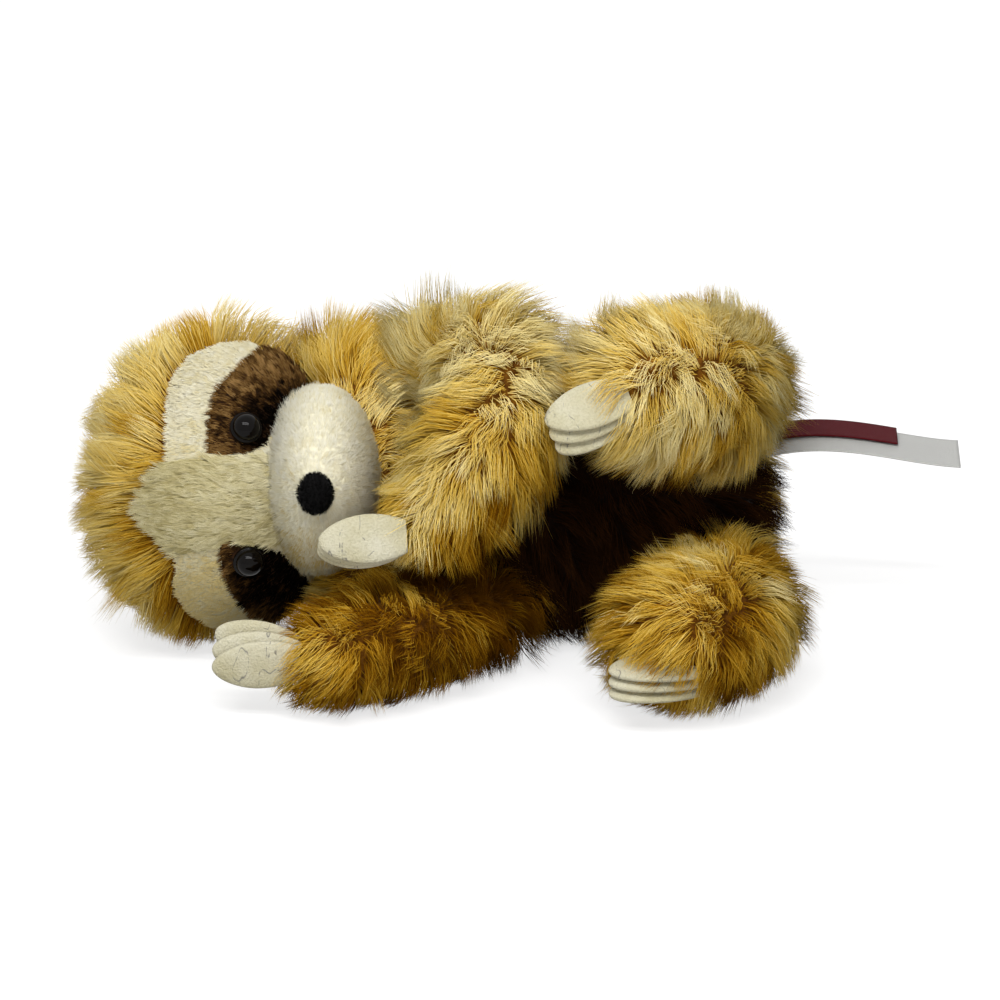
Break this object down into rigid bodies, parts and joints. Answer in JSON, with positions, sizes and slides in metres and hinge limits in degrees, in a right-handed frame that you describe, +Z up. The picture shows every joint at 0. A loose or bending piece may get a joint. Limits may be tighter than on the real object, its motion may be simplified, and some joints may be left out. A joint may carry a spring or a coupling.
{
  "type": "plush sloth",
  "caption": "Soft stuffed sloth lying on its side with its hands at its mouth, long fur, felt claws, with head, arms and legs that flex at their seams.",
  "frame": {"origin": "centre of the bounding box in plan, at the height of the surface that the toy lies on", "axes": "+X from the toy's head to its rump, -Y the side that its face looks to, +Z up; the toy lies on its right side, rolled 20 degrees onto its back"},
  "size_m": [0.2822, 0.1432, 0.1203],
  "materials": {
    "fur": "long soft pile",
    "belly_fur": "long soft pile",
    "white_plush": "short pile",
    "beige_plush": "short pile",
    "brown_plush": "short pile",
    "muzzle_plush": "short pile",
    "nose_flock": "flocked",
    "eye_plastic": "gloss",
    "washer_plastic": "matte",
    "felt": "felt",
    "filling": "fibre",
    "satin": "satin",
    "woven_red": "woven",
    "card": "uncoated card",
    "clear_plastic": "matte"
  },
  "bodies": {
    "body": {"back_left": "fur", "back_right": "fur", "belly_panel": "belly_fur", "back_ruff": "fur", "body_stuffing": "filling", "tag_fastener": "clear_plastic"},
    "neck": {"neck_core": "fur", "neck_ruff": "fur"},
    "head": {"hood_left": "fur", "hood_right": "fur", "forehead_strip": "beige_plush", "face_left": "white_plush", "face_right": "white_plush", "eye_patch_left": "brown_plush", "eye_patch_right": "brown_plush", "muzzle": "muzzle_plush", "nose": "nose_flock", "eye_left": "eye_plastic", "eye_right": "eye_plastic", "eye_washer_left": "washer_plastic", "eye_washer_right": "washer_plastic", "head_stuffing": "filling"},
    "arm_left": {"arm_left_skin": "fur", "arm_left_stuffing": "filling", "arm_left_claw_front": "felt", "arm_left_claw_middle": "felt", "arm_left_claw_rear": "felt"},
    "arm_right": {"arm_right_skin": "fur", "arm_right_stuffing": "filling", "arm_right_claw_front": "felt", "arm_right_claw_middle": "felt", "arm_right_claw_rear": "felt"},
    "leg_left": {"leg_left_skin": "fur", "leg_left_stuffing": "filling", "leg_left_claw_front": "felt", "leg_left_claw_middle": "felt", "leg_left_claw_rear": "felt"},
    "leg_right": {"leg_right_skin": "fur", "leg_right_stuffing": "filling", "leg_right_claw_front": "felt", "leg_right_claw_middle": "felt", "leg_right_claw_rear": "felt"},
    "labels": {"care_label": "satin", "woven_label": "woven_red"},
    "tag": {"hang_tag": "card"}
  },
  "joints": [
    {"name": "neck_turn", "type": "hinge", "parent": "body", "child": "neck", "pos_m": [-0.04985, 0.02867, 0.04658], "axis": [-1, 0, 0], "range_deg": [0, 20]},
    {"name": "neck_nod", "type": "hinge", "parent": "neck", "child": "head", "pos_m": [-0.04985, 0.02867, 0.04658], "axis": [0, -0.342, -0.9397], "range_deg": [0, 20]},
    {"name": "shoulder_left", "type": "hinge", "parent": "body", "child": "arm_left", "pos_m": [-0.02338, 0.03125, 0.07086], "axis": [-1, 0, 0], "range_deg": [0, 40]},
    {"name": "shoulder_right", "type": "hinge", "parent": "body", "child": "arm_right", "pos_m": [-0.00369, 0.01184, 0.01752], "axis": [1, 0, 0], "range_deg": [0, 40]},
    {"name": "hip_left", "type": "hinge", "parent": "body", "child": "leg_left", "pos_m": [0.05631, 0.03478, 0.07529], "axis": [-1, 0, 0], "range_deg": [0, 35]},
    {"name": "hip_right", "type": "hinge", "parent": "body", "child": "leg_right", "pos_m": [0.05631, 0.01213, 0.01833], "axis": [1, 0, 0], "range_deg": [0, 35]},
    {"name": "label_flex", "type": "hinge", "parent": "body", "child": "labels", "pos_m": [0.07709, 0.03977, 0.05952], "axis": [0, 0.9962, 0.0872], "range_deg": [-30, 30], "stiffness_Nm_per_rad": 0.002},
    {"name": "tag_swing", "type": "hinge", "parent": "body", "child": "tag", "pos_m": [0.07247, 0.05151, 0.03283], "axis": [0.6553, 0.6886, -0.3105], "range_deg": [-30, 30]}
  ]
}
